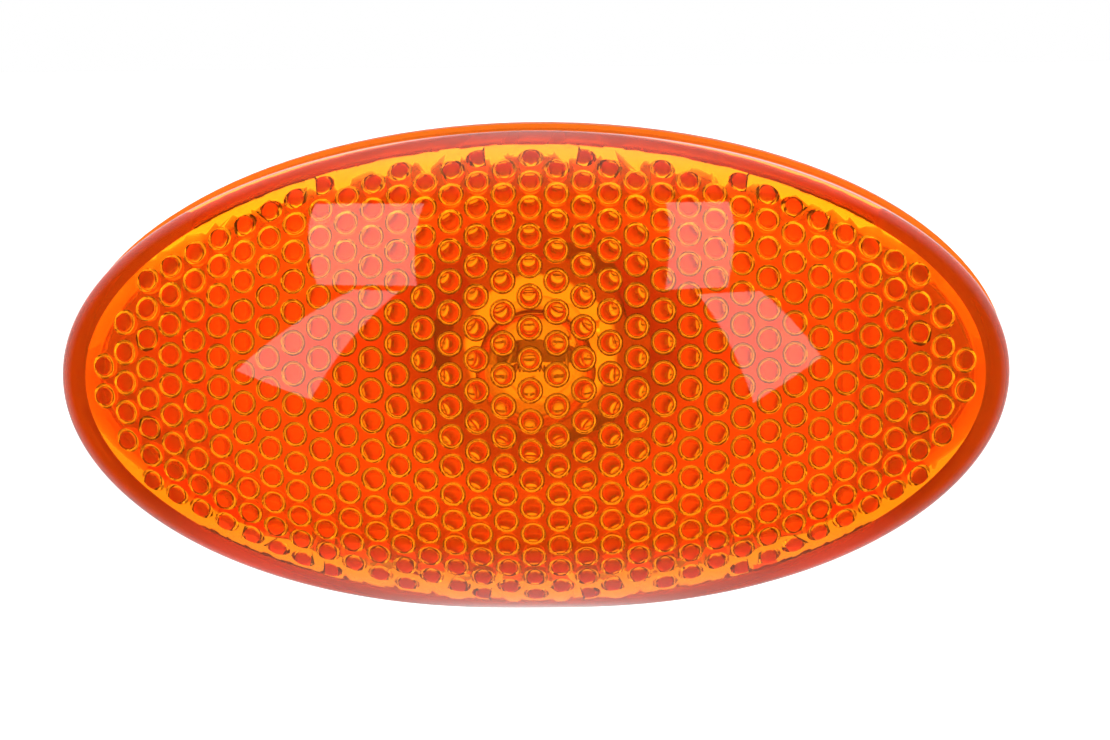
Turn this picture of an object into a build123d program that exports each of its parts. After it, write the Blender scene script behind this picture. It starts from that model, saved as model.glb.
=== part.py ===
"""Vehicle side indicator lamp: amber lens and housing, clip mounting, capless bulb in a bayonet holder."""
import os
from math import asin, cos, degrees, hypot, pi, radians, sin, sqrt, tan

from build123d import *
from scipy.spatial import Delaunay

# Driving dimensions in millimetres. While it is modelled the lamp faces +Z, with X along its
# length, Y up, and the outer face of the vehicle's panel at Z = 0.

# Lens
LENS_LENGTH = 80.0
LENS_HEIGHT = 41.0
LENS_DEPTH = 15.5
LENS_WALL = 2.4
DOME_DEPTH = 13.5
DOME_SIDE_MARGIN = 0.2
BEND_RADIUS = 95.0
SHOULDER_RADIUS = 2.0

# Studs of the lens' inner face
STUD_PITCH = 2.5
STUD_RADIUS = 1.08
STUD_HEIGHT = 1.0
STUD_END_MARGIN = 1.5
STUD_SIDE_MARGIN = 0.8
SHOULDER_MARGIN = 0.6
RING_COUNT = 96

# Gate nub on the lens' lower edge
GATE_OFFSET = 19.8
GATE_LENGTH = 2.2
GATE_HEIGHT = 0.4
GATE_ROOT = 0.5
GATE_DEPTH = 4.0

# Panel that the lamp is clipped into
PANEL_THICKNESS = 1.0
CUTOUT_END_MARGIN = 10.0
CUTOUT_SIDE_MARGIN = 5.0
CUTOUT_CORNER = 8.5
CUTOUT_CLEARANCE = 0.6

# Housing
FLANGE_THICKNESS = 2.0
FLANGE_LIP = 0.35
NECK_DEPTH = 12.0
NECK_WALL = 2.0
NECK_CHAMFER = 1.2
WELD_RIB_HEIGHT = 1.2
WELD_RIB_WIDTH = 1.2
WELD_RIB_CLEARANCE = 0.15
HOOK_REACH = 3.2
HOOK_WIDTH = 11.0
HOOK_THICKNESS = 4.2
HOOK_NOSE = 1.6
HOOK_CLEARANCE = 0.2

# Gasket
GASKET_THICKNESS = 1.5
GASKET_INSET = 1.2
GASKET_CLEARANCE = 0.4

# Spring clip
CLIP_THICKNESS = 0.5
CLIP_WIDTH = 9.0
CLIP_REACH = 4.2
CLIP_BEND_RADIUS = 1.1
CLIP_KNEE_GAP = 2.2
CLIP_TIP_REACH = 1.6
CLIP_TAIL = 0.8
CLIP_FOLD = 4.6
CLIP_FIT = 0.05
BRIDGE_HEIGHT = 3.2
BRIDGE_WALL = 1.2
BRIDGE_SETBACK = 2.6

# Bulb holder
PORT_DIAMETER = 16.0
PORT_CLEARANCE = 0.2
LUG_COUNT = 3
LUG_REACH = 1.5
LUG_ANGLE = 32.0
LUG_THICKNESS = 1.8
LUG_TURN = 60.0
LUG_CLEARANCE = 0.3
HOLDER_FACE = 2.5
HOLDER_FLANGE_DIAMETER = 25.4
HOLDER_FLANGE_THICKNESS = 2.4
HOLDER_BACK_DEPTH = 4.5
WING_THICKNESS = 2.2
WING_INSET = 0.8
SEAL_THICKNESS = 1.6
SEAL_WIDTH = 2.2
SEAL_INSET = 0.4

# Connector shroud and contacts
SHROUD_LENGTH = 17.0
SHROUD_HEIGHT = 11.0
SHROUD_DEPTH = 12.0
SHROUD_WALL = 1.5
SHROUD_CORNER = 1.5
LATCH_WIDTH = 5.0
LATCH_HEIGHT = 1.2
LATCH_LENGTH = 3.5
LATCH_SETBACK = 3.0
CONTACT_SPACING = 7.5
CONTACT_WIDTH = 2.8
CONTACT_THICKNESS = 0.8
CONTACT_SETBACK = 1.5
CONTACT_JOG = 1.9
CONTACT_FIT = 0.05
BLADE_LENGTH = 8.0

# Capless bulb
BULB_DIAMETER = 10.0
BULB_LENGTH = 26.8
BULB_GLASS = 0.7
BASE_WIDTH = 9.5
BASE_THICKNESS = 2.2
BASE_DEPTH = 9.0
BASE_FIT = 0.15
BULB_SHOULDER = 2.5
BULB_GAP = 0.5
FILAMENT_HEIGHT = 12.7
FILAMENT_DIAMETER = 0.7
LEAD_SPACING = 5.2
LEAD_DIAMETER = 0.4
LEAD_FOLD = 5.5
LEAD_ROOM = 1.0

# Levels along the lamp's axis, worked out from the sizes above
FLANGE_BACK = GASKET_THICKNESS
LENS_BASE = FLANGE_BACK + FLANGE_THICKNESS
DOME_CENTRE = LENS_BASE + LENS_DEPTH - DOME_DEPTH
BEND_LEVEL = LENS_BASE + LENS_DEPTH - BEND_RADIUS
NECK_BACK = -NECK_DEPTH
WALL_FRONT = NECK_BACK + NECK_WALL
HOLDER_FRONT = WALL_FRONT + HOLDER_FACE
HOLDER_FLANGE_FRONT = NECK_BACK - SEAL_THICKNESS
HOLDER_FLANGE_BACK = HOLDER_FLANGE_FRONT - HOLDER_FLANGE_THICKNESS
HOLDER_BACK = HOLDER_FLANGE_BACK - HOLDER_BACK_DEPTH
SHROUD_BACK = HOLDER_BACK - SHROUD_DEPTH
BASE_END = HOLDER_FRONT - BASE_DEPTH
BULB_TIP = BASE_END + BULB_LENGTH
BULB_BOTTOM = HOLDER_FRONT + BULB_GAP
JOG_START = BASE_END - LEAD_ROOM - CONTACT_THICKNESS / 2
FILAMENT_LEVEL = HOLDER_FRONT + FILAMENT_HEIGHT

# Half axes of the lens' outline, and half the width of the arch that its dome is bent from
LENS_A = LENS_LENGTH / 2
LENS_B = LENS_HEIGHT / 2
DOME_B = LENS_B + DOME_SIDE_MARGIN

# Cut-out in the panel, set in from the lens' outline, and the neck that passes through it
CUTOUT_LENGTH = LENS_LENGTH - 2 * CUTOUT_END_MARGIN
CUTOUT_HEIGHT = LENS_HEIGHT - 2 * CUTOUT_SIDE_MARGIN
NECK_LENGTH = CUTOUT_LENGTH - 2 * CUTOUT_CLEARANCE
NECK_HEIGHT = CUTOUT_HEIGHT - 2 * CUTOUT_CLEARANCE
NECK_CORNER = CUTOUT_CORNER - CUTOUT_CLEARANCE
HOLDER_RADIUS = PORT_DIAMETER / 2 - PORT_CLEARANCE
LUG_RADIUS = HOLDER_RADIUS + LUG_REACH

# Sides of the bulb that a lead and its contact lie on
SIDES = {"left": -1, "right": 1}

# The lamp as fitted to an upright panel: it faces -Y, with +Z up
UPRIGHT = Rot(90, 0, 0)


def prism(sketch, bottom, top):
    """Straight prism over a sketch between two levels of the axis."""
    return extrude(Plane.XY.offset(bottom) * sketch, top - bottom)


def lens_outline(inset=0.0):
    """Elliptical outline of the lens, moved inwards by the inset."""
    return Ellipse(LENS_A - inset, LENS_B - inset)


def dome_reach(y, inset):
    """Distance from the axis of the dome's bend to its surface, moved inwards by the inset."""
    return BEND_RADIUS - DOME_DEPTH + (DOME_DEPTH - inset) * sqrt(1 - (y / (DOME_B - inset)) ** 2)


def dome_height(x, y, inset):
    """Level of the dome's surface, moved inwards by the inset, over a point of its outline."""
    return BEND_LEVEL + sqrt(dome_reach(y, inset) ** 2 - x ** 2)


def equal_steps(half_width, height, step):
    """Distances from the middle of an elliptical arch to points at equal steps along it."""
    samples = 2000
    distances = [0.0]
    length = 0.0
    for k in range(samples):
        here = pi / 2 * k / samples
        following = pi / 2 * (k + 1) / samples
        length += hypot(half_width * (sin(following) - sin(here)), height * (cos(here) - cos(following)))
        if length >= step * len(distances):
            distances.append(half_width * sin(following))
    return distances


def stud_lattice():
    """Points of a triangular lattice laid at equal steps over the dome's inner surface."""
    bend = BEND_RADIUS - LENS_WALL
    step = STUD_PITCH * sqrt(3) / 2 / bend
    columns = int(asin((LENS_A - LENS_WALL) / bend) / step)
    rows = equal_steps(DOME_B - LENS_WALL, DOME_DEPTH - LENS_WALL, STUD_PITCH / 2)
    points = []
    for column in range(-columns, columns + 1):
        for row in range(column % 2, len(rows), 2):
            x = dome_reach(rows[row], LENS_WALL) * sin(column * step)
            for y in {rows[row], -rows[row]}:
                points.append((x, y, dome_height(x, y, LENS_WALL)))
    return points


def inside_shoulder(point):
    """Whether a point of the lattice lies clear of the hollow's shoulder."""
    limit_x = LENS_A - LENS_WALL - SHOULDER_MARGIN
    limit_y = LENS_B - LENS_WALL - SHOULDER_MARGIN
    return (point[0] / limit_x) ** 2 + (point[1] / limit_y) ** 2 <= 1


def lens_hollow(level=None):
    """Corners round the hollow of the lens, at a level or on its shoulder."""
    ring = []
    for k in range(RING_COUNT):
        angle = 2 * pi * k / RING_COUNT
        x = (LENS_A - LENS_WALL) * cos(angle)
        y = (LENS_B - LENS_WALL) * sin(angle)
        ring.append((x, y, dome_height(x, y, LENS_WALL) if level is None else level))
    return ring


def stud_axis(point):
    """Inward normal of the dome's inner surface at a point of it."""
    spoke = Vector(point.X, 0, point.Z - BEND_LEVEL)
    rise = spoke.length - BEND_RADIUS + DOME_DEPTH
    slope = spoke.normalized() * (rise / (DOME_DEPTH - LENS_WALL) ** 2)
    slope += Vector(0, point.Y / (DOME_B - LENS_WALL) ** 2, 0)
    return slope.normalized() * -1


def carries_stud(point):
    """Whether a point of the lattice lies inside the edge of the stud pattern."""
    limit_x = LENS_A - LENS_WALL - STUD_END_MARGIN
    limit_y = LENS_B - LENS_WALL - STUD_SIDE_MARGIN
    return (point[0] / limit_x) ** 2 + (point[1] / limit_y) ** 2 <= 1


def polygon(*corners):
    """Flat face between corner points."""
    return Face(Wire.make_polygon(corners))


def optic_faces():
    """Faces of the lens' inside: its wall, and flats between lattice points with a faceted stud on each."""
    shoulder = lens_hollow()
    base = lens_hollow(LENS_BASE)
    faces = [polygon(shoulder[k - 1], shoulder[k], base[k], base[k - 1]) for k in range(RING_COUNT)]
    lattice = [point for point in stud_lattice() if inside_shoulder(point)]
    studs = [carries_stud(point) for point in lattice] + [False] * RING_COUNT
    points = [Vector(point) for point in lattice + shoulder]
    for triangle in Delaunay([(point.X, point.Y) for point in points]).simplices.tolist():
        outline = []
        for before, here, after in ((2, 0, 1), (0, 1, 2), (1, 2, 0)):
            corner = points[triangle[here]]
            if not studs[triangle[here]]:
                outline.append(corner)
                continue
            root = []
            for end in (before, after):
                root.append(corner + (points[triangle[end]] - corner).normalized() * STUD_RADIUS)
            outline.extend(root)
            faces.append(polygon(root[0], root[1], corner + stud_axis(corner) * STUD_HEIGHT))
        faces.append(polygon(*outline))
    return faces


def gate_nub():
    """Stub of the moulding gate, a small ramp on the skirt's lower edge."""
    bearing = asin(GATE_OFFSET / LENS_A)
    foot = Vector(LENS_A * sin(bearing), -LENS_B * cos(bearing), 0)
    outward = Vector(foot.X / LENS_A ** 2, foot.Y / LENS_B ** 2, 0)
    along = outward.cross(Vector(0, 0, -1))
    seat = Plane(origin=foot + Vector(0, 0, LENS_BASE), x_dir=along, z_dir=(0, 0, 1))
    half = GATE_LENGTH / 2
    ramp = Polygon((-half, GATE_ROOT), (-half, 0), (half, -GATE_HEIGHT), (half, GATE_ROOT), align=None)
    return extrude(seat * ramp, GATE_DEPTH)


def dome_form():
    """Arched bar, bent round an axis behind the lamp, that bounds the lens' dome."""
    arch = Ellipse(DOME_B, DOME_DEPTH) + Pos(0, -DOME_DEPTH / 2) * Rectangle(2 * DOME_B, DOME_DEPTH)
    axis = Axis((0, 0, BEND_LEVEL), (0, 1, 0))
    spread = 2 * degrees(asin(LENS_A / BEND_RADIUS))
    bar = revolve(Plane.YZ * Pos(0, DOME_CENTRE) * arch, axis, 2 * spread)
    return bar.rotate(axis, -spread)


def make_lens():
    """Amber lens: domed shell with an elliptical skirt and round studs over its inner face."""
    body = prism(lens_outline(), LENS_BASE, LENS_BASE + LENS_DEPTH) & dome_form()
    body = fillet(body.faces().sort_by(Axis.Z)[-1].edges(), SHOULDER_RADIUS)
    body += gate_nub()
    base = body.faces().sort_by(Axis.Z)[0]
    rim = base.make_holes([Wire.make_polygon(lens_hollow(LENS_BASE))])
    skin = [face for face in body.faces() if face != base]
    return Solid(Shell(skin + [rim] + optic_faces()))


def make_housing():
    """Amber rear shell: flange under the lens, neck through the panel, hook, clip bridge and bulb port."""
    flange = prism(Ellipse(LENS_A + FLANGE_LIP, LENS_B + FLANGE_LIP), FLANGE_BACK, LENS_BASE)
    neck = prism(neck_outline(), NECK_BACK, FLANGE_BACK)
    neck = chamfer(neck.faces().sort_by(Axis.Z)[0].edges(), NECK_CHAMFER)
    rib_outer = lens_outline(LENS_WALL + WELD_RIB_CLEARANCE)
    rib_inner = lens_outline(LENS_WALL + WELD_RIB_CLEARANCE + WELD_RIB_WIDTH)
    weld_rib = prism(rib_outer - rib_inner, LENS_BASE, LENS_BASE + WELD_RIB_HEIGHT)
    shell = flange + neck + weld_rib - prism(neck_outline(NECK_WALL), WALL_FRONT, LENS_BASE)
    port = Circle(PORT_DIAMETER / 2)
    notch_angle = LUG_ANGLE + 2 * degrees(LUG_CLEARANCE / LUG_RADIUS)
    for bearing in lug_bearings(LUG_TURN):
        port += sector(LUG_RADIUS + LUG_CLEARANCE, notch_angle, bearing)
    shell -= prism(port, NECK_BACK, WALL_FRONT)
    return shell + fixed_hook() + clip_bridge()


def neck_outline(inset=0.0):
    """Rounded rectangle of the neck that passes through the panel."""
    return RectangleRounded(NECK_LENGTH - 2 * inset, NECK_HEIGHT - 2 * inset, NECK_CORNER - inset)


def sector(radius, angle, bearing):
    """Slice of a disc about the lamp's axis, centred on a bearing."""
    reach = 2 * radius
    spread = reach * tan(radians(angle / 2))
    wedge = make_face(Polyline((0, 0), (reach, -spread), (reach, spread), (0, 0)))
    return Rot(0, 0, bearing) * (Circle(radius) & wedge)


def lug_bearings(turn):
    """Bearings of the bayonet lugs, turned by an angle."""
    return [turn + 360 * k / LUG_COUNT for k in range(LUG_COUNT)]


def fixed_hook():
    """Rigid hook at one end of the neck, behind the panel's edge."""
    wall = -NECK_LENGTH / 2
    front = -PANEL_THICKNESS - HOOK_CLEARANCE
    nose = front - HOOK_NOSE
    profile = make_face(Polyline(
        (wall + NECK_WALL / 2, front),
        (wall - HOOK_REACH, front),
        (wall - HOOK_REACH, nose),
        (wall, front - HOOK_THICKNESS),
        (wall + NECK_WALL / 2, front - HOOK_THICKNESS),
        (wall + NECK_WALL / 2, front),
    ))
    return extrude(Plane.XZ * profile, HOOK_WIDTH / 2, both=True)


def clip_bridge():
    """Moulded strap on the other end of the neck that the clip's inner leg is pushed into."""
    wall = NECK_LENGTH / 2
    slot_depth = CLIP_THICKNESS + 2 * CLIP_FIT
    slot_width = CLIP_WIDTH + 2 * CLIP_FIT
    root = NECK_WALL / 2
    block_depth = root + slot_depth + BRIDGE_WALL
    block = Pos(wall - root + block_depth / 2) * Rectangle(block_depth, slot_width + 2 * BRIDGE_WALL)
    slot = Pos(wall + slot_depth / 2) * Rectangle(slot_depth, slot_width)
    return prism(block - slot, -BRIDGE_SETBACK - BRIDGE_HEIGHT, -BRIDGE_SETBACK)


def make_panel_gasket():
    """Foam ring between the flange and the panel, cut to pass over the hook and the clip."""
    outer = Ellipse(LENS_A + FLANGE_LIP - GASKET_INSET, LENS_B + FLANGE_LIP - GASKET_INSET)
    notch_reach = max(HOOK_REACH, CLIP_FIT + CLIP_THICKNESS + CLIP_REACH) + GASKET_CLEARANCE
    notch_width = max(HOOK_WIDTH, CLIP_WIDTH + 2 * (CLIP_FIT + BRIDGE_WALL)) + 2 * GASKET_CLEARANCE
    notches = Rectangle(NECK_LENGTH + 2 * notch_reach, notch_width)
    return prism(outer - neck_outline(-GASKET_CLEARANCE) - notches, 0, FLANGE_BACK)


def make_spring_clip():
    """Folded steel leaf that snaps behind the panel's edge."""
    leg = NECK_LENGTH / 2 + CLIP_FIT + CLIP_THICKNESS / 2
    knee = -PANEL_THICKNESS - CLIP_KNEE_GAP
    path = FilletPolyline(
        (leg, -BRIDGE_SETBACK + CLIP_TAIL),
        (leg, -BRIDGE_SETBACK - BRIDGE_HEIGHT - CLIP_FOLD),
        (leg + CLIP_REACH, knee),
        (leg + CLIP_TIP_REACH, -PANEL_THICKNESS - HOOK_CLEARANCE),
        radius=CLIP_BEND_RADIUS,
    )
    profile = trace(path, line_width=CLIP_THICKNESS)
    return extrude(Plane.XZ * profile, CLIP_WIDTH / 2, both=True)


def make_bulb_holder():
    """Bayonet holder: bulb socket in front, lugs, sealing flange with finger wings, connector shroud behind."""
    body = prism(Circle(HOLDER_RADIUS), HOLDER_FLANGE_FRONT, HOLDER_FRONT)
    for bearing in lug_bearings(0):
        body += prism(sector(LUG_RADIUS, LUG_ANGLE, bearing), WALL_FRONT, WALL_FRONT + LUG_THICKNESS)
    body += prism(Circle(HOLDER_FLANGE_DIAMETER / 2), HOLDER_FLANGE_BACK, HOLDER_FLANGE_FRONT)
    body += prism(shroud_outline(), SHROUD_BACK, HOLDER_FLANGE_BACK)
    body += prism(Rectangle(HOLDER_FLANGE_DIAMETER - 2 * WING_INSET, WING_THICKNESS), HOLDER_BACK, HOLDER_FLANGE_BACK)
    body += shroud_latch()
    body -= prism(shroud_outline(SHROUD_WALL), SHROUD_BACK, HOLDER_BACK)
    socket = Rectangle(BASE_WIDTH + 2 * BASE_FIT, BASE_THICKNESS + 2 * BASE_FIT)
    body -= prism(socket, BASE_END - BASE_FIT, HOLDER_FRONT)
    for side in SIDES.values():
        body -= contact_strip(side, CONTACT_FIT, HOLDER_FRONT)
        body -= lead_groove(side)
    return body


def shroud_outline(inset=0.0):
    """Rounded rectangle of the connector shroud."""
    return RectangleRounded(SHROUD_LENGTH - 2 * inset, SHROUD_HEIGHT - 2 * inset, SHROUD_CORNER - inset / 2)


def shroud_latch():
    """Ramp on top of the shroud that the mating plug's latch clicks over."""
    top = SHROUD_HEIGHT / 2
    start = SHROUD_BACK + LATCH_SETBACK
    end = start + LATCH_LENGTH
    ramp = make_face(Polyline(
        (top - SHROUD_WALL / 2, start),
        (top, start),
        (top + LATCH_HEIGHT, end),
        (top - SHROUD_WALL / 2, end),
        (top - SHROUD_WALL / 2, start),
    ))
    return extrude(Plane.YZ * ramp, LATCH_WIDTH / 2, both=True)


def contact_strip(side, fit=0.0, front=HOLDER_FRONT - CONTACT_SETBACK):
    """Strip from beside the bulb's base to a blade in the shroud, on one side, grown by a fit."""
    offset = side * (BASE_THICKNESS / 2 + LEAD_DIAMETER + CONTACT_THICKNESS / 2)
    path = Polyline(
        (offset, front),
        (offset, JOG_START),
        (0, JOG_START - CONTACT_JOG),
        (0, HOLDER_BACK - BLADE_LENGTH),
    )
    profile = Plane.YZ.offset(side * CONTACT_SPACING / 2) * trace(path, line_width=CONTACT_THICKNESS + 2 * fit)
    return extrude(profile, CONTACT_WIDTH / 2 + fit, both=True)


def lead_groove(side):
    """Groove in the socket's wall that lets a folded lead pass."""
    width = LEAD_DIAMETER + 2 * BASE_FIT
    near = -width / 2
    far = BASE_THICKNESS / 2 + LEAD_DIAMETER
    groove = Pos(side * LEAD_SPACING / 2, side * (near + far) / 2) * Rectangle(width, far - near)
    return prism(groove, BASE_END - LEAD_ROOM, HOLDER_FRONT)


def make_holder_seal():
    """Flat sealing ring between the holder's flange and the housing."""
    outer = HOLDER_FLANGE_DIAMETER / 2 - SEAL_INSET
    return prism(Circle(outer) - Circle(outer - SEAL_WIDTH), HOLDER_FLANGE_FRONT, NECK_BACK)


def make_bulb_envelope():
    """Capless bulb's glass: thin round bulb run into a flat pinched base, with a bore for each lead."""
    outer = bulb_body(0)
    base = prism(Rectangle(BASE_WIDTH, BASE_THICKNESS), BASE_END, BULB_BOTTOM + BULB_SHOULDER)
    glass = outer + base - bulb_body(BULB_GLASS)
    for side in SIDES.values():
        bore = Pos(side * LEAD_SPACING / 2) * Circle(LEAD_DIAMETER / 2)
        glass -= prism(bore, BASE_END, BULB_BOTTOM + BULB_SHOULDER)
    return glass


def bulb_body(inset):
    """Round part of the bulb, moved inwards by the inset, with a round tip and a coned foot."""
    radius = BULB_DIAMETER / 2 - inset
    tip_centre = BULB_TIP - BULB_DIAMETER / 2
    barrel = prism(Circle(radius), BULB_BOTTOM + inset, tip_centre)
    barrel = chamfer(barrel.edges().sort_by(Axis.Z)[0], BULB_SHOULDER - inset)
    return barrel + Pos(0, 0, tip_centre) * Sphere(radius)


def make_filament():
    """Outer form of the coiled filament, between the leads."""
    length = LEAD_SPACING - LEAD_DIAMETER
    coil = extrude(Plane.YZ * Circle(FILAMENT_DIAMETER / 2), length / 2, both=True)
    return Pos(0, 0, FILAMENT_LEVEL) * coil


def make_lead_wire(side):
    """Wire from the filament down through the pinch, folded back up one face of the base."""
    fold = side * (BASE_THICKNESS + LEAD_DIAMETER) / 2
    wire = Circle(LEAD_DIAMETER / 2)
    down = prism(wire, BASE_END, FILAMENT_LEVEL + FILAMENT_DIAMETER / 2)
    turn = revolve(Plane.XY.offset(BASE_END) * wire, Axis((0, fold / 2, BASE_END), (side, 0, 0)), 180)
    up = Pos(0, fold) * prism(wire, BASE_END, BASE_END + LEAD_FOLD)
    return Pos(side * LEAD_SPACING / 2) * (down + turn + up)


def main():
    """Builds every piece and writes it, turned upright, to its own file."""
    pieces = {
        "lens": make_lens(),
        "housing": make_housing(),
        "panel_gasket": make_panel_gasket(),
        "spring_clip": make_spring_clip(),
        "bulb_holder": make_bulb_holder(),
        "holder_seal": make_holder_seal(),
        "bulb_envelope": make_bulb_envelope(),
        "filament": make_filament(),
    }
    for name, side in SIDES.items():
        pieces["contact_" + name] = contact_strip(side)
        pieces["lead_wire_" + name] = make_lead_wire(side)
    os.makedirs("parts", exist_ok=True)
    for name, piece in pieces.items():
        export_step(UPRIGHT * piece, "parts/" + name + ".step")


main()
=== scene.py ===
"""Vehicle side indicator lamp: its fine pieces, its materials, and the stage it is pictured on."""
from math import asin, cos, hypot, pi, radians, sin, sqrt

import bmesh
import bpy
from mathutils import Matrix, Vector
from mathutils.geometry import delaunay_2d_cdt
from mathutils.kdtree import KDTree


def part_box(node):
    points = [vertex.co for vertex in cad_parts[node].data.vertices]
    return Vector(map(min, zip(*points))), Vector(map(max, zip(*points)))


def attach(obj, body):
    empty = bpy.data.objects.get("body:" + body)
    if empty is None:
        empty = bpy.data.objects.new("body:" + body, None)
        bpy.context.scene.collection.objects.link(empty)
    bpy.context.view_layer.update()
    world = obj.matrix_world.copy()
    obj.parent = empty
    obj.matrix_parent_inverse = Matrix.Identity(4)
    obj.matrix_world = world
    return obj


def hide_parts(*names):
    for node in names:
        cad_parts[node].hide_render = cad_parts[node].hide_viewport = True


bl_info = {
    "name": "Indicator lamp",
    "version": (1, 0, 0),
    "blender": (4, 5, 0),
    "location": "View3D > Sidebar > Lamp",
    "description": "Builds the fine pieces, materials and stage of a vehicle side indicator lamp",
    "category": "Object",
}

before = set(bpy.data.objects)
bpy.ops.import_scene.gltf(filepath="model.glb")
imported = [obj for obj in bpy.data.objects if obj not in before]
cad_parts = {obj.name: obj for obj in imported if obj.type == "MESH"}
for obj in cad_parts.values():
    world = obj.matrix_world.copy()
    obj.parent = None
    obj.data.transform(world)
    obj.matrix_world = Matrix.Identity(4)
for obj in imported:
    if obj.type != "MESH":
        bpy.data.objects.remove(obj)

MM = 0.001

# Steps of the lens' outside: up the skirt, round the shoulder, and over the dome to its top.
SKIRT_STEPS, SHOULDER_STEPS, DOME_STEPS = 4, 8, 48
# Halvings in the search for the place where the shoulder touches the dome.
HALVINGS = 40
# Width of the broken edge at the foot of the skirt.
EDGE_BREAK = 0.15 * MM
# Rings of plain points between the studs and the skirt, as shares of the inside's outline.
PLAIN_RINGS = (0.985, 0.965, 0.94, 0.91, 0.88)

# Corners of the softboxes as seen from the lamp: azimuth and elevation in degrees.
SOFTBOXES = {
    "softbox_left_high": ((-47, 58), (-27, 62), (-17, 26), (-30, 25)),
    "softbox_left_low": ((-25, 24), (-19, 24), (-29, -11), (-38, -3)),
    "softbox_right_high": ((24, 62), (36, 60), (23, 24), (15, 24)),
    "softbox_right_low": ((19, 22), (27, 22), (33, 0), (25, -13)),
}
SOFTBOX_DISTANCE = 0.9
FLOOR_REACH = 3.0


def length(name, description, millimetres):
    """A length property whose default is given in millimetres."""
    return bpy.props.FloatProperty(
        name=name, description=description, default=millimetres * MM, precision=5, unit="LENGTH")


def angle(name, description, degrees):
    """An angle property whose default is given in degrees."""
    return bpy.props.FloatProperty(
        name=name, description=description, default=radians(degrees), subtype="ANGLE")


def count(name, description, default):
    """A whole number property."""
    return bpy.props.IntProperty(name=name, description=description, default=default)


def strength(name, description, default):
    """A plain number property for a light's strength."""
    return bpy.props.FloatProperty(name=name, description=description, default=default)


class LensSettings(bpy.types.PropertyGroup):
    """Sizes of the lens, as in the CAD, and the fineness of its mesh."""

    half_length: length("Half length", "Half the outline's length", 40.0)
    half_height: length("Half height", "Half the outline's height", 20.5)
    base: length("Base", "Level of the rim, a hair over the flange that carries it", 3.52)
    depth: length("Depth", "From the rim to the top of the dome", 15.48)
    wall: length("Wall", "Thickness of the moulding", 2.4)
    dome_depth: length("Dome depth", "Height of the arch that the dome is bent from", 13.5)
    dome_side: length("Dome side", "Half the width of that arch", 20.7)
    bend: length("Bend", "Radius that the arch is bent to along the lamp", 95.0)
    shoulder: length("Shoulder", "Radius between the dome and the skirt", 2.0)
    hollow_length: length("Hollow length", "Half the length of the inside's ellipsoid", 39.6)
    stud_pitch: length("Stud pitch", "Distance between studs in a column", 2.5)
    stud_radius: length("Stud radius", "Radius of a stud at its root", 1.08)
    stud_height: length("Stud height", "Height of a stud over the flats", 1.0)
    stud_margin: length("Stud margin", "Least distance between a stud and a plain point beside it", 0.12)
    gate_offset: length("Gate offset", "Place of the gate stub along the lamp", 19.8)
    gate_length: length("Gate length", "Length of the gate stub", 2.2)
    gate_height: length("Gate height", "How far the gate stub stands proud", 0.4)
    gate_depth: length("Gate depth", "How far the gate stub runs up the skirt", 4.0)
    turns: count("Turns", "Steps round the outline", 240)
    arc_steps: count("Arc steps", "Steps over a sixth of a stud's circle", 3)
    stud_steps: count("Stud steps", "Steps from a stud's root to its tip", 5)


class FilamentSettings(bpy.types.PropertyGroup):
    """Sizes of the coiled filament."""

    wire: length("Wire", "Thickness of the wire", 0.13)
    windings: count("Windings", "Turns of the coil", 15)
    winding_steps: count("Winding steps", "Steps in one turn", 18)
    wire_sides: count("Wire sides", "Sides of the wire", 7)


class StageSettings(bpy.types.PropertyGroup):
    """Camera and light of the picture."""

    azimuth: angle("Azimuth", "Camera's turn towards the lamp's +X end", 1.8)
    elevation: angle("Elevation", "Camera's height over the lamp's axis", 8.6)
    roll: angle("Roll", "Camera's turn about its own line of sight", -0.67)
    distance: length("Distance", "From the top of the dome to the camera", 240.0)
    focal: bpy.props.FloatProperty(
        name="Focal length", description="Camera's focal length in mm", default=96.0)
    aim_right: length("Aim right", "Aim to the right of the dome's top", 2.1)
    aim_up: length("Aim up", "Aim above the dome's top", 1.9)
    floor_drop: length("Floor drop", "Floor below the lamp's axis", 120.0)
    box_strength: strength("Softbox strength", "Radiance of each softbox", 3.4)
    ambient: strength("Ambient", "Soft light from all round", 0.95)
    sides: strength("Sides", "Radiance of the tent's sides through clear pieces", 2.8)
    fill_power: strength("Fill power", "Watts of the light inside the housing", 0.0006)
    fill_length: length("Fill length", "Length of that light", 62.0)
    fill_height: length("Fill height", "Height of that light", 28.0)
    fill_level: length("Fill level", "That light's distance before the panel", 5.0)


def linear(code):
    """Linear RGBA of an sRGB hex colour."""
    parts = [int(code[k:k + 2], 16) / 255 for k in (1, 3, 5)]
    return [p / 12.92 if p <= 0.04045 else ((p + 0.055) / 1.055) ** 2.4 for p in parts] + [1.0]


def add(tree, kind, sockets=None, **settings):
    """Adds one shader node, with its settings, and its sockets set to a value or linked to an output."""
    made = tree.nodes.new(kind)
    for name, value in settings.items():
        setattr(made, name, value)
    for name, value in (sockets or {}).items():
        if isinstance(value, bpy.types.NodeSocket):
            tree.links.new(value, made.inputs[name])
        else:
            made.inputs[name].default_value = value
    return made


def new_material(name):
    """An empty material, with its output node and the object's own coordinates in metres."""
    made = bpy.data.materials.new(name)
    made.use_nodes = True
    made.node_tree.nodes.clear()
    output = add(made.node_tree, "ShaderNodeOutputMaterial")
    place = add(made.node_tree, "ShaderNodeTexCoord").outputs["Object"]
    return made, made.node_tree, output, place


def grain(tree, place, millimetres, detail=3.0, stretch=(1, 1, 1)):
    """Noise whose lumps are about so many millimetres across, longer along an axis with a low stretch."""
    mapped = add(tree, "ShaderNodeMapping", {"Vector": place, "Scale": stretch}).outputs["Vector"]
    return add(tree, "ShaderNodeTexNoise", {
        "Vector": mapped, "Scale": 1 / (millimetres * MM), "Detail": detail})


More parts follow.
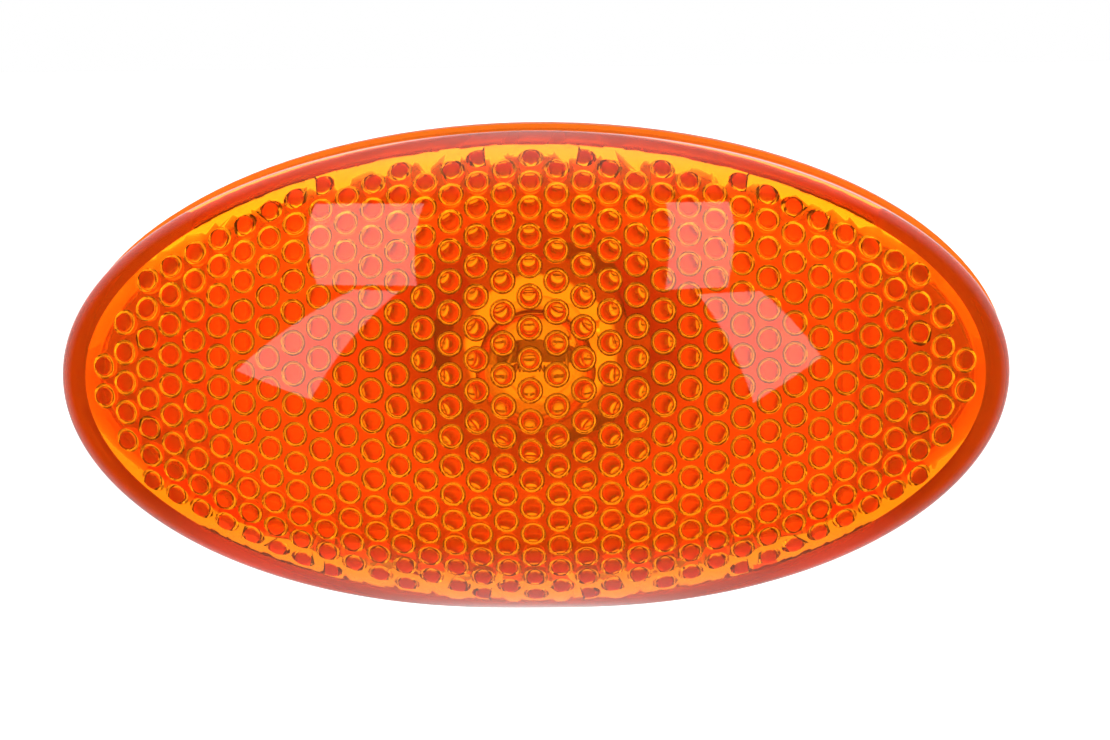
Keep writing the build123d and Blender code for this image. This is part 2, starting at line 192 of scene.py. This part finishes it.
def between(tree, factor, low, high):
    """Colour between two hex colours by a factor."""
    mixed = add(tree, "ShaderNodeMix", {0: factor, 6: linear(low), 7: linear(high)}, data_type="RGBA")
    return mixed.outputs[2]


def spread(tree, value, low, high):
    """A noise value, which mostly lies between 0.3 and 0.7, spread over a range."""
    return add(tree, "ShaderNodeMapRange", {
        "Value": value, "From Min": 0.3, "From Max": 0.7, "To Min": low, "To Max": high}).outputs["Result"]


def bump(tree, height, millimetres, share=1.0):
    """Normal of a relief so many millimetres deep."""
    return add(tree, "ShaderNodeBump", {
        "Height": height, "Distance": millimetres * MM, "Strength": share}).outputs["Normal"]


def amber_lens():
    """Amber acrylic, injection moulded in a polished tool: clear, glossy, with a trace of haze."""
    made, tree, output, place = new_material("acrylic_moulded_amber")
    flow = grain(tree, place, 14.0, 2.0).outputs["Fac"]
    fine = grain(tree, place, 1.5).outputs["Fac"]
    shader = add(tree, "ShaderNodeBsdfPrincipled", {
        "Base Color": between(tree, flow, "#FD8408", "#FE8A0C"),
        "Roughness": spread(tree, fine, 0.012, 0.03),
        "IOR": 1.49,
        "Transmission Weight": 0.94,
    })
    tree.links.new(shader.outputs["BSDF"], output.inputs["Surface"])
    return made


def amber_housing():
    """Amber ABS blend, moulded in a fine-textured tool: milky, lets backlight through, soft sheen."""
    made, tree, output, place = new_material("abs_moulded_translucent_amber")
    flow = grain(tree, place, 11.0, 2.0).outputs["Fac"]
    fine = grain(tree, place, 0.25).outputs["Fac"]
    colour = between(tree, flow, "#FA781A", "#FB801E")
    relief = bump(tree, fine, 0.01, 0.5)
    shader = add(tree, "ShaderNodeBsdfPrincipled", {
        "Base Color": colour,
        "Roughness": spread(tree, fine, 0.3, 0.42),
        "Normal": relief,
        "IOR": 1.53,
    })
    through = between(tree, flow, "#FFB43C", "#FFBC48")
    glow = add(tree, "ShaderNodeBsdfTranslucent", {"Color": through, "Normal": relief})
    let_through = 0.56
    mixed = add(tree, "ShaderNodeMixShader", {
        0: let_through, 1: shader.outputs["BSDF"], 2: glow.outputs["BSDF"]})
    tree.links.new(mixed.outputs["Shader"], output.inputs["Surface"])
    return made


def nylon():
    """Natural nylon, moulded: milky white, with a painted glow on its face that stands in for backlight
    coming through it.
    """
    made, tree, output, place = new_material("nylon_moulded_natural")
    flow = grain(tree, place, 6.0).outputs["Fac"]
    fine = grain(tree, place, 0.2).outputs["Fac"]
    axes = add(tree, "ShaderNodeSeparateXYZ", {"Vector": place}).outputs
    flat = add(tree, "ShaderNodeCombineXYZ", {"X": axes["X"], "Z": axes["Z"]}).outputs["Vector"]
    off_axis = add(tree, "ShaderNodeVectorMath", {0: flat}, operation="LENGTH").outputs["Value"]
    # Painted light: the holder's face emits a glow within a radius of the axis and before a depth, standing
    # in for backlight through the nylon.
    dark_radius, lit_radius, lit_depth, glow = 6.6 * MM, 6.2 * MM, 15.0 * MM, 2.0
    face = add(tree, "ShaderNodeMapRange", {
        "Value": off_axis, "From Min": dark_radius, "From Max": lit_radius,
        "To Min": 0.0, "To Max": glow}).outputs["Result"]
    front = add(tree, "ShaderNodeMath", {0: axes["Y"], 1: lit_depth}, operation="LESS_THAN").outputs["Value"]
    painted_glow = add(tree, "ShaderNodeMath", {0: face, 1: front}, operation="MULTIPLY").outputs["Value"]
    colour = between(tree, flow, "#DAD4C4", "#E3DDCF")
    shader = add(tree, "ShaderNodeBsdfPrincipled", {
        "Base Color": colour,
        "Roughness": spread(tree, fine, 0.38, 0.52),
        "Normal": bump(tree, fine, 0.008, 0.5),
        "IOR": 1.53,
        "Emission Color": colour,
        "Emission Strength": painted_glow,
    })
    tree.links.new(shader.outputs["BSDF"], output.inputs["Surface"])
    return made


def foam():
    """Closed-cell foam, die cut: dull black with small cells open on its cut faces, and painted shade
    darkening each cell's hollow.
    """
    made, tree, output, place = new_material("foam_die_cut_black")
    cell = 0.35 * MM
    # Colour and relief share one cell distance, so each cell is darker where it is deepest: painted shade in
    # the hollows.
    cell_relief_and_shade = add(tree, "ShaderNodeTexVoronoi", {"Vector": place, "Scale": 1 / cell}).outputs["Distance"]
    shader = add(tree, "ShaderNodeBsdfPrincipled", {
        "Base Color": between(tree, cell_relief_and_shade, "#141414", "#262626"),
        "Roughness": 0.92,
        "Normal": bump(tree, cell_relief_and_shade, 0.12),
    })
    tree.links.new(shader.outputs["BSDF"], output.inputs["Surface"])
    return made


def rubber():
    """Soft rubber, compression moulded: dark, even, with a faint waxy sheen."""
    made, tree, output, place = new_material("rubber_moulded_black")
    fine = grain(tree, place, 0.4).outputs["Fac"]
    shader = add(tree, "ShaderNodeBsdfPrincipled", {
        "Base Color": between(tree, fine, "#1B1B1C", "#262627"),
        "Roughness": spread(tree, fine, 0.55, 0.7),
        "Normal": bump(tree, fine, 0.01, 0.6),
    })
    tree.links.new(shader.outputs["BSDF"], output.inputs["Surface"])
    return made


def metal(name, low, high, smooth, rough, stretch):
    """A bare or plated metal, with fine streaks along the way it was rolled or drawn."""
    made, tree, output, place = new_material(name)
    streaks = grain(tree, place, 0.6, 4.0, stretch).outputs["Fac"]
    cloud = grain(tree, place, 3.0, 2.0).outputs["Fac"]
    shader = add(tree, "ShaderNodeBsdfPrincipled", {
        "Base Color": between(tree, cloud, low, high),
        "Metallic": 1.0,
        "Roughness": spread(tree, streaks, smooth, rough),
        "Normal": bump(tree, streaks, 0.004, 0.4),
    })
    tree.links.new(shader.outputs["BSDF"], output.inputs["Surface"])
    return made


def bulb_glass():
    """Soda glass, blown and pinched: clear, thin, with a slight waviness."""
    made, tree, output, place = new_material("glass_blown_clear")
    wave = grain(tree, place, 2.5, 1.0).outputs["Fac"]
    shader = add(tree, "ShaderNodeBsdfPrincipled", {
        "Base Color": between(tree, wave, "#F6FAF9", "#FCFEFD"),
        "Roughness": spread(tree, wave, 0.0, 0.015),
        "Normal": bump(tree, wave, 0.02, 0.3),
        "IOR": 1.5,
        "Transmission Weight": 1.0,
    })
    tree.links.new(shader.outputs["BSDF"], output.inputs["Surface"])
    return made


def upright(x, y, z):
    """A point of the lamp that faces +Z with Y up, turned to face -Y with Z up."""
    return Vector((x, -z, y))


class Mesh:
    """Points and faces under construction, in which equal points are one."""

    def __init__(self):
        self.points = []
        self.faces = []
        self.known = {}

    def point(self, place):
        """Number of a point, which is added if it is new."""
        key = (round(place[0], 8), round(place[1], 8), round(place[2], 8))
        if key not in self.known:
            self.known[key] = len(self.points)
            self.points.append(upright(*place))
        return self.known[key]

    def face(self, places):
        """Adds a face over places, leaving out places that repeat."""
        numbers = []
        for place in places:
            number = self.point(place)
            if number not in numbers:
                numbers.append(number)
        if len(numbers) > 2:
            self.faces.append(numbers)

    def band(self, ring, other):
        """Adds the faces between two closed rings of as many places."""
        for k in range(len(ring)):
            self.face((ring[k - 1], ring[k], other[k], other[k - 1]))

    def finish(self, name, node, material, sharp):
        """Object with this mesh in the place of a CAD node, whose edges over an angle are kept crisp."""
        data = bpy.data.meshes.new(name)
        data.from_pydata(self.points, [], self.faces)
        work = bmesh.new()
        work.from_mesh(data)
        bmesh.ops.recalc_face_normals(work, faces=work.faces)
        work.to_mesh(data)
        work.free()
        data.shade_smooth()
        data.set_sharp_from_angle(angle=sharp)
        data.materials.append(material)
        piece = bpy.data.objects.new(name, data)
        bpy.context.scene.collection.objects.link(piece)
        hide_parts(node)
        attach(piece, "root")
        return piece


def dome_height(s, x, y):
    """Level of the dome's outside, an elliptical arch bent along the lamp, over a point of its outline."""
    reach = s.bend - s.dome_depth + s.dome_depth * sqrt(1 - (y / s.dome_side) ** 2)
    return s.base + s.depth - s.bend + sqrt(reach ** 2 - x ** 2)


def skirt_profile(s, bearing):
    """Places up the lens' outside at a bearing of its outline: skirt, round shoulder and dome."""
    foot_x = s.half_length * cos(bearing)
    foot_y = s.half_height * sin(bearing)
    lean = Vector((foot_x / s.half_length ** 2, foot_y / s.half_height ** 2)).normalized()

    def level(inward):
        return dome_height(s, foot_x - lean.x * inward, foot_y - lean.y * inward)

    def slope(inward):
        nudge = 1e-6
        return (level(inward + nudge) - level(inward)) / nudge

    low, high = 0.0, s.shoulder
    for _ in range(HALVINGS):
        touch = (low + high) / 2
        rise = slope(touch)
        if touch + s.shoulder * rise / hypot(rise, 1) < s.shoulder:
            low = touch
        else:
            high = touch
    rise = slope(touch)
    centre = level(touch) - s.shoulder / hypot(rise, 1)
    sweep = pi / 2 - asin(rise / hypot(rise, 1))
    corner = 0.3 * EDGE_BREAK
    profile = [(EDGE_BREAK, s.base), (corner, s.base + corner), (0.0, s.base + EDGE_BREAK)]
    profile += [(0.0, s.base + (centre - s.base) * k / SKIRT_STEPS) for k in range(1, SKIRT_STEPS + 1)]
    for k in range(1, SHOULDER_STEPS + 1):
        turn = sweep * k / SHOULDER_STEPS
        profile.append((s.shoulder * (1 - cos(turn)), centre + s.shoulder * sin(turn)))
    places = [(foot_x - lean.x * inward, foot_y - lean.y * inward, z) for inward, z in profile]
    edge_x, edge_y = places[-1][:2]
    for k in range(1, DOME_STEPS):
        share = 1 - k / DOME_STEPS
        x, y = edge_x * share, edge_y * share
        places.append((x, y, dome_height(s, x, y)))
    return places


def equal_steps(half_width, height, step):
    """Distances from the middle of an elliptical arch to points at equal steps along it."""
    samples = 2000
    distances = [0.0]
    travelled = 0.0
    for k in range(samples):
        here = pi / 2 * k / samples
        after = pi / 2 * (k + 1) / samples
        travelled += hypot(half_width * (sin(after) - sin(here)), height * (cos(here) - cos(after)))
        if travelled >= step * len(distances):
            distances.append(half_width * sin(after))
    return distances


def hollow_height(s, x, y):
    """Level of the lens' inside over a point of its outline."""
    share = 1 - (x / s.hollow_length) ** 2 - (y / (s.dome_side - s.wall)) ** 2
    return s.base + s.depth - s.dome_depth + (s.dome_depth - s.wall) * sqrt(share)


def stud_lattice(s):
    """Points of a triangular lattice laid at equal steps over the lens' inside."""
    half_height = s.dome_side - s.wall
    depth = s.dome_depth - s.wall
    points = []
    for column, x in enumerate(equal_steps(s.hollow_length, depth, s.stud_pitch * sqrt(3) / 2)):
        share = sqrt(1 - (x / s.hollow_length) ** 2)
        rows = equal_steps(half_height * share, depth * share, s.stud_pitch / 2)
        for row in range(column % 2, len(rows), 2):
            for side in {x, -x}:
                for rise in {rows[row], -rows[row]}:
                    points.append(Vector((side, rise, hollow_height(s, side, rise))))
    return points


def apart(points, others, distance):
    """Those points that keep at least a distance from all the others."""
    tree = KDTree(len(others))
    for number, other in enumerate(others):
        tree.insert(other, number)
    tree.balance()
    return [point for point in points if tree.find(point)[2] >= distance]


def stud_axis(s, point):
    """Inward normal of the lens' inside at a point of it."""
    rise = point.z - s.base - s.depth + s.dome_depth
    slope = Vector((
        point.x / s.hollow_length ** 2,
        point.y / (s.dome_side - s.wall) ** 2,
        rise / (s.dome_depth - s.wall) ** 2,
    ))
    return -slope.normalized()


def add_optic(s, mesh, shoulder):
    """Adds the lens' inside within its shoulder: flats between lattice points, and a round stud on each."""
    edge = [Vector(place) for place in shoulder]
    outline_x, outline_y = s.half_length - s.wall, s.half_height - s.wall
    clearance = s.stud_radius + s.stud_margin
    lattice = [p for p in stud_lattice(s) if (p.x / outline_x) ** 2 + (p.y / outline_y) ** 2 < 1]
    lattice = apart(lattice, edge, clearance)
    flats = []
    for share in PLAIN_RINGS:
        inner = [(p.x * share, p.y * share) for p in edge[::2]]
        ring = [Vector((x, y, hollow_height(s, x, y))) for x, y in inner]
        flats += apart(ring, lattice, clearance)
    points = lattice + flats + edge
    studs = [True] * len(lattice) + [False] * (len(flats) + len(edge))
    tolerance = 1e-9
    triangles, sources = delaunay_2d_cdt([p.xy for p in points], [], [], 0, tolerance)[2:4]
    for triangle in triangles:
        corners = [sources[k][0] for k in triangle]
        outline = []
        for here in range(3):
            corner = points[corners[here]]
            if not studs[corners[here]]:
                outline.append(corner)
                continue
            axis = stud_axis(s, corner)
            start = (points[corners[here - 1]] - corner).normalized()
            end = (points[corners[(here + 1) % 3]] - corner).normalized()
            spokes = [start.lerp(end, k / s.arc_steps).normalized() for k in range(s.arc_steps + 1)]
            rings = []
            for k in range(s.stud_steps + 1):
                climb = pi / 2 * k / s.stud_steps
                lift = corner + axis * (s.stud_height * sin(climb))
                rings.append([lift + spoke * (s.stud_radius * cos(climb)) for spoke in spokes])
            outline += rings[0]
            for ring, above in zip(rings, rings[1:]):
                for k in range(s.arc_steps):
                    mesh.face((ring[k], ring[k + 1], above[k + 1], above[k]))
        mesh.face(outline)


def add_gate(s, mesh):
    """Adds the stub of the moulding gate, a small ramp on the skirt's lower edge."""
    bearing = asin(s.gate_offset / s.half_length)
    foot = Vector((s.half_length * sin(bearing), -s.half_height * cos(bearing), s.base))
    out = Vector((foot.x / s.half_length ** 2, foot.y / s.half_height ** 2, 0)).normalized()
    along = Vector((-out.y, out.x, 0))
    half = s.gate_length / 2
    root = 0.05 * MM
    offsets = ((-half, -root), (-half, 0), (half, s.gate_height), (half, -root))
    ramp = [foot + along * sideways + out * proud for sideways, proud in offsets]
    top = [place + Vector((0, 0, s.gate_depth)) for place in ramp]
    mesh.band(ramp, top)
    mesh.face(ramp)
    mesh.face(top)


class LAMP_OT_lens(bpy.types.Operator):
    """Builds the lens with its round studs"""

    bl_idname = "lamp.lens"
    bl_label = "Lens"

    def execute(self, context):
        s = context.scene.lamp_lens
        mesh = Mesh()
        bearings = [2 * pi * k / s.turns for k in range(s.turns)]
        profiles = [skirt_profile(s, bearing) for bearing in bearings]
        rings = list(zip(*profiles))
        for ring, above in zip(rings, rings[1:]):
            mesh.band(ring, above)
        top = (0.0, 0.0, s.base + s.depth)
        for k in range(s.turns):
            mesh.face((rings[-1][k - 1], rings[-1][k], top))
        inner_x, inner_y = s.half_length - s.wall, s.half_height - s.wall
        hollow = [(inner_x * cos(bearing), inner_y * sin(bearing)) for bearing in bearings]
        rim = [(x, y, s.base) for x, y in hollow]
        shoulder = [(x, y, hollow_height(s, x, y)) for x, y in hollow]
        mesh.band(rings[0], rim)
        mesh.band(rim, shoulder)
        add_optic(s, mesh, shoulder)
        add_gate(s, mesh)
        piece = mesh.finish("lens_moulding", "lens", amber_lens(), sharp=radians(32))
        return {"FINISHED"}


class LAMP_OT_filament(bpy.types.Operator):
    """Winds the filament's coil"""

    bl_idname = "lamp.filament"
    bl_label = "Filament"

    def execute(self, context):
        s = context.scene.lamp_filament
        low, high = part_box("filament")
        middle = (low + high) / 2
        radius = (high.z - low.z) / 2 - s.wire / 2
        span = high.x - low.x - s.wire
        steps = s.windings * s.winding_steps
        along = Vector((1, 0, 0))
        mesh = Mesh()
        rings = []
        for k in range(steps + 1):
            turn = 2 * pi * k / s.winding_steps
            out = Vector((0, cos(turn), sin(turn)))
            centre = Vector((span * (k / steps - 0.5), middle.z, -middle.y)) + out * radius
            ring = []
            for side in range(s.wire_sides):
                roll = 2 * pi * side / s.wire_sides
                ring.append(centre + (out * cos(roll) + along * sin(roll)) * (s.wire / 2))
            rings.append(ring)
        for ring, after in zip(rings, rings[1:]):
            mesh.band(ring, after)
        mesh.face(rings[0])
        mesh.face(rings[-1])
        # Drawn tungsten, coiled hot: dark grey, with a dull skin.
        tungsten = metal("tungsten_drawn_coiled", "#5E5E60", "#6C6C6E", 0.32, 0.45, (1, 1, 1))
        piece = mesh.finish("filament_coil", "filament", tungsten, sharp=radians(60))
        return {"FINISHED"}


class LAMP_OT_finishes(bpy.types.Operator):
    """Gives every CAD piece that stays its material"""

    bl_idname = "lamp.finishes"
    bl_label = "Finishes"

    def execute(self, context):
        # Zinc plate on rolled steel: bright grey, faintly blue, streaked along the strip.
        zinc = metal("spring_steel_zinc_plated", "#B4B7B9", "#C6C8C9", 0.24, 0.4, (1, 0.2, 1))
        # Stamped brass strip: warm yellow, with a satin roll finish.
        brass = metal("brass_stamped", "#D8B061", "#E2BF78", 0.2, 0.34, (1, 0.15, 1))
        # Drawn nickel wire: pale and smooth, with draw lines along it.
        nickel = metal("nickel_drawn", "#C9C4BA", "#D6D2CA", 0.18, 0.3, (1, 0.1, 1))
        finishes = {
            "housing": amber_housing(),
            "panel_gasket": foam(),
            "spring_clip": zinc,
            "bulb_holder": nylon(),
            "holder_seal": rubber(),
            "contact_left": brass,
            "contact_right": brass,
            "bulb_envelope": bulb_glass(),
            "lead_wire_left": nickel,
            "lead_wire_right": nickel,
        }
        for name, material in finishes.items():
            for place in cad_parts[name].material_slots:
                place.material = material
        return {"FINISHED"}


def paper_floor():
    """Matt white paper: pale, with a faint mottle, and a soft shadow on it."""
    made, tree, output, place = new_material("paper_matt_white")
    mottle = grain(tree, place, 40.0, 2.0).outputs["Fac"]
    shader = add(tree, "ShaderNodeBsdfPrincipled", {
        "Base Color": between(tree, mottle, "#F8F8F8", "#FCFCFC"),
        "Roughness": 0.9,
    })
    lift = 0.5
    white = add(tree, "ShaderNodeEmission", {"Color": (1, 1, 1, 1), "Strength": lift})
    both = add(tree, "ShaderNodeAddShader", {0: shader.outputs["BSDF"], 1: white.outputs["Emission"]})
    tree.links.new(both.outputs["Shader"], output.inputs["Surface"])
    return made


def light_cloth(power):
    """Diffusing cloth of a softbox, lit evenly from behind."""
    made, tree, output, place = new_material("diffuser_cloth_lit")
    weave = grain(tree, place, 60.0, 1.0).outputs["Fac"]
    colour = between(tree, weave, "#FFFCF6", "#FFFFFF")
    glow = add(tree, "ShaderNodeEmission", {"Color": colour, "Strength": power})
    tree.links.new(glow.outputs["Emission"], output.inputs["Surface"])
    return made


def stage_sheet(name, corners, material):
    """A flat stage piece between four corners."""
    data = bpy.data.meshes.new(name)
    data.from_pydata(corners, [], [(0, 1, 2, 3)])
    data.materials.append(material)
    piece = bpy.data.objects.new(name, data)
    bpy.context.scene.collection.objects.link(piece)
    return piece


def softbox(name, corners, material):
    """A softbox seen from the lamp between four directions, each an azimuth and an elevation in degrees."""
    places = []
    for azimuth, elevation in corners:
        a, e = radians(azimuth), radians(elevation)
        places.append(Vector((sin(a) * cos(e), -cos(a) * cos(e), sin(e))) * SOFTBOX_DISTANCE)
    stage_sheet(name, places, material)


def tent(tree, depth, start, end, power):
    """Strength of a tent that is nearly dark before the lamp and rises to a power between two depths."""
    dark = 0.04
    rising = add(tree, "ShaderNodeMapRange", {
        "Value": depth, "From Min": start, "From Max": end, "To Min": dark, "To Max": power})
    return rising.outputs["Result"]


def background(tree, power):
    """White world light of a strength, which may be linked."""
    made = add(tree, "ShaderNodeBackground", {"Color": (1, 1, 1, 1), "Strength": power})
    return made.outputs["Background"]


def set_world(ambient, sides):
    """White for the camera, soft light from all round, and a tent for reflections and clear pieces."""
    world = bpy.data.worlds.new("studio")
    bpy.context.scene.world = world
    world.use_nodes = True
    tree = world.node_tree
    tree.nodes.clear()
    output = add(tree, "ShaderNodeOutputWorld")
    path = add(tree, "ShaderNodeLightPath").outputs
    way = add(tree, "ShaderNodeTexCoord").outputs["Generated"]
    depth = add(tree, "ShaderNodeSeparateXYZ", {"Vector": way}).outputs["Y"]
    white = 1.0
    mirrored = tent(tree, depth, -0.35, 0.2, white)
    through = tent(tree, depth, -0.9, -0.4, sides)
    seen = background(tree, ambient)
    rays = {"Is Glossy Ray": mirrored, "Is Transmission Ray": through, "Is Camera Ray": white}
    for ray, power in rays.items():
        other = background(tree, power)
        seen = add(tree, "ShaderNodeMixShader", {0: path[ray], 1: seen, 2: other}).outputs["Shader"]
    tree.links.new(seen, output.inputs["Surface"])


def add_fill(s):
    """Even light over the housing's inside, for the daylight that its translucent wall lets in."""
    data = bpy.data.lights.new("housing_fill", "AREA")
    data.shape = "ELLIPSE"
    data.size = s.fill_length
    data.size_y = s.fill_height
    data.energy = s.fill_power
    fill = bpy.data.objects.new("housing_fill", data)
    fill.matrix_world = Matrix.Translation((0, -s.fill_level, 0)) @ Matrix.Rotation(pi / 2, 4, "X")
    fill.visible_camera = False
    fill.visible_glossy = False
    fill.visible_transmission = False
    bpy.context.scene.collection.objects.link(fill)


def set_camera(s):
    """Camera at the photo's angle, aimed a little beside the top of the dome."""
    lens = bpy.context.scene.lamp_lens
    level = cos(s.elevation)
    back = Vector((sin(s.azimuth) * level, -cos(s.azimuth) * level, sin(s.elevation)))
    right = Vector((cos(s.azimuth), sin(s.azimuth), 0))
    up = back.cross(right)
    top = Vector((0, -lens.base - lens.depth, 0))
    aim = top + right * s.aim_right + up * s.aim_up
    data = bpy.data.cameras.new("camera")
    data.lens = s.focal
    data.sensor_width = 36.0
    data.clip_start = 0.01
    camera = bpy.data.objects.new("camera", data)
    turned = Matrix((right, up, back)).transposed() @ Matrix.Rotation(s.roll, 3, "Z")
    camera.matrix_world = Matrix.Translation(aim + back * s.distance) @ turned.to_4x4()
    bpy.context.scene.collection.objects.link(camera)
    bpy.context.scene.camera = camera


class LAMP_OT_stage(bpy.types.Operator):
    """Sets the floor, lights, world and camera"""

    bl_idname = "lamp.stage"
    bl_label = "Stage"

    def execute(self, context):
        s = context.scene.lamp_stage
        sides = ((-1, -1), (1, -1), (1, 1), (-1, 1))
        corners = [(x * FLOOR_REACH, y * FLOOR_REACH, -s.floor_drop) for x, y in sides]
        floor = stage_sheet("floor", corners, paper_floor())
        floor.visible_glossy = False
        cloth = light_cloth(s.box_strength)
        for name, directions in SOFTBOXES.items():
            softbox(name, directions, cloth)
        add_fill(s)
        set_world(s.ambient, s.sides)
        set_camera(s)
        context.scene.view_settings.view_transform = "Standard"
        return {"FINISHED"}


class LAMP_PT_panel(bpy.types.Panel):
    """Lists the lamp's operators in the sidebar"""

    bl_idname = "LAMP_PT_panel"
    bl_label = "Indicator lamp"
    bl_space_type = "VIEW_3D"
    bl_region_type = "UI"
    bl_category = "Lamp"

    def draw(self, context):
        for operator in OPERATORS:
            self.layout.operator(operator.bl_idname)


OPERATORS = (LAMP_OT_lens, LAMP_OT_filament, LAMP_OT_finishes, LAMP_OT_stage)
SETTINGS = {"lamp_lens": LensSettings, "lamp_filament": FilamentSettings, "lamp_stage": StageSettings}


def register():
    """Registers the settings, operators and panel."""
    for name, group in SETTINGS.items():
        bpy.utils.register_class(group)
        setattr(bpy.types.Scene, name, bpy.props.PointerProperty(type=group))
    for operator in OPERATORS:
        bpy.utils.register_class(operator)
    bpy.utils.register_class(LAMP_PT_panel)


def unregister():
    """Takes the panel, operators and settings away again."""
    bpy.utils.unregister_class(LAMP_PT_panel)
    for operator in reversed(OPERATORS):
        bpy.utils.unregister_class(operator)
    for name, group in SETTINGS.items():
        delattr(bpy.types.Scene, name)
        bpy.utils.unregister_class(group)


def main():
    """Builds the scene."""
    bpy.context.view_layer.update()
    register()
    bpy.ops.lamp.lens()
    bpy.ops.lamp.filament()
    bpy.ops.lamp.finishes()
    bpy.ops.lamp.stage()


if __name__ == "__main__":
    main()
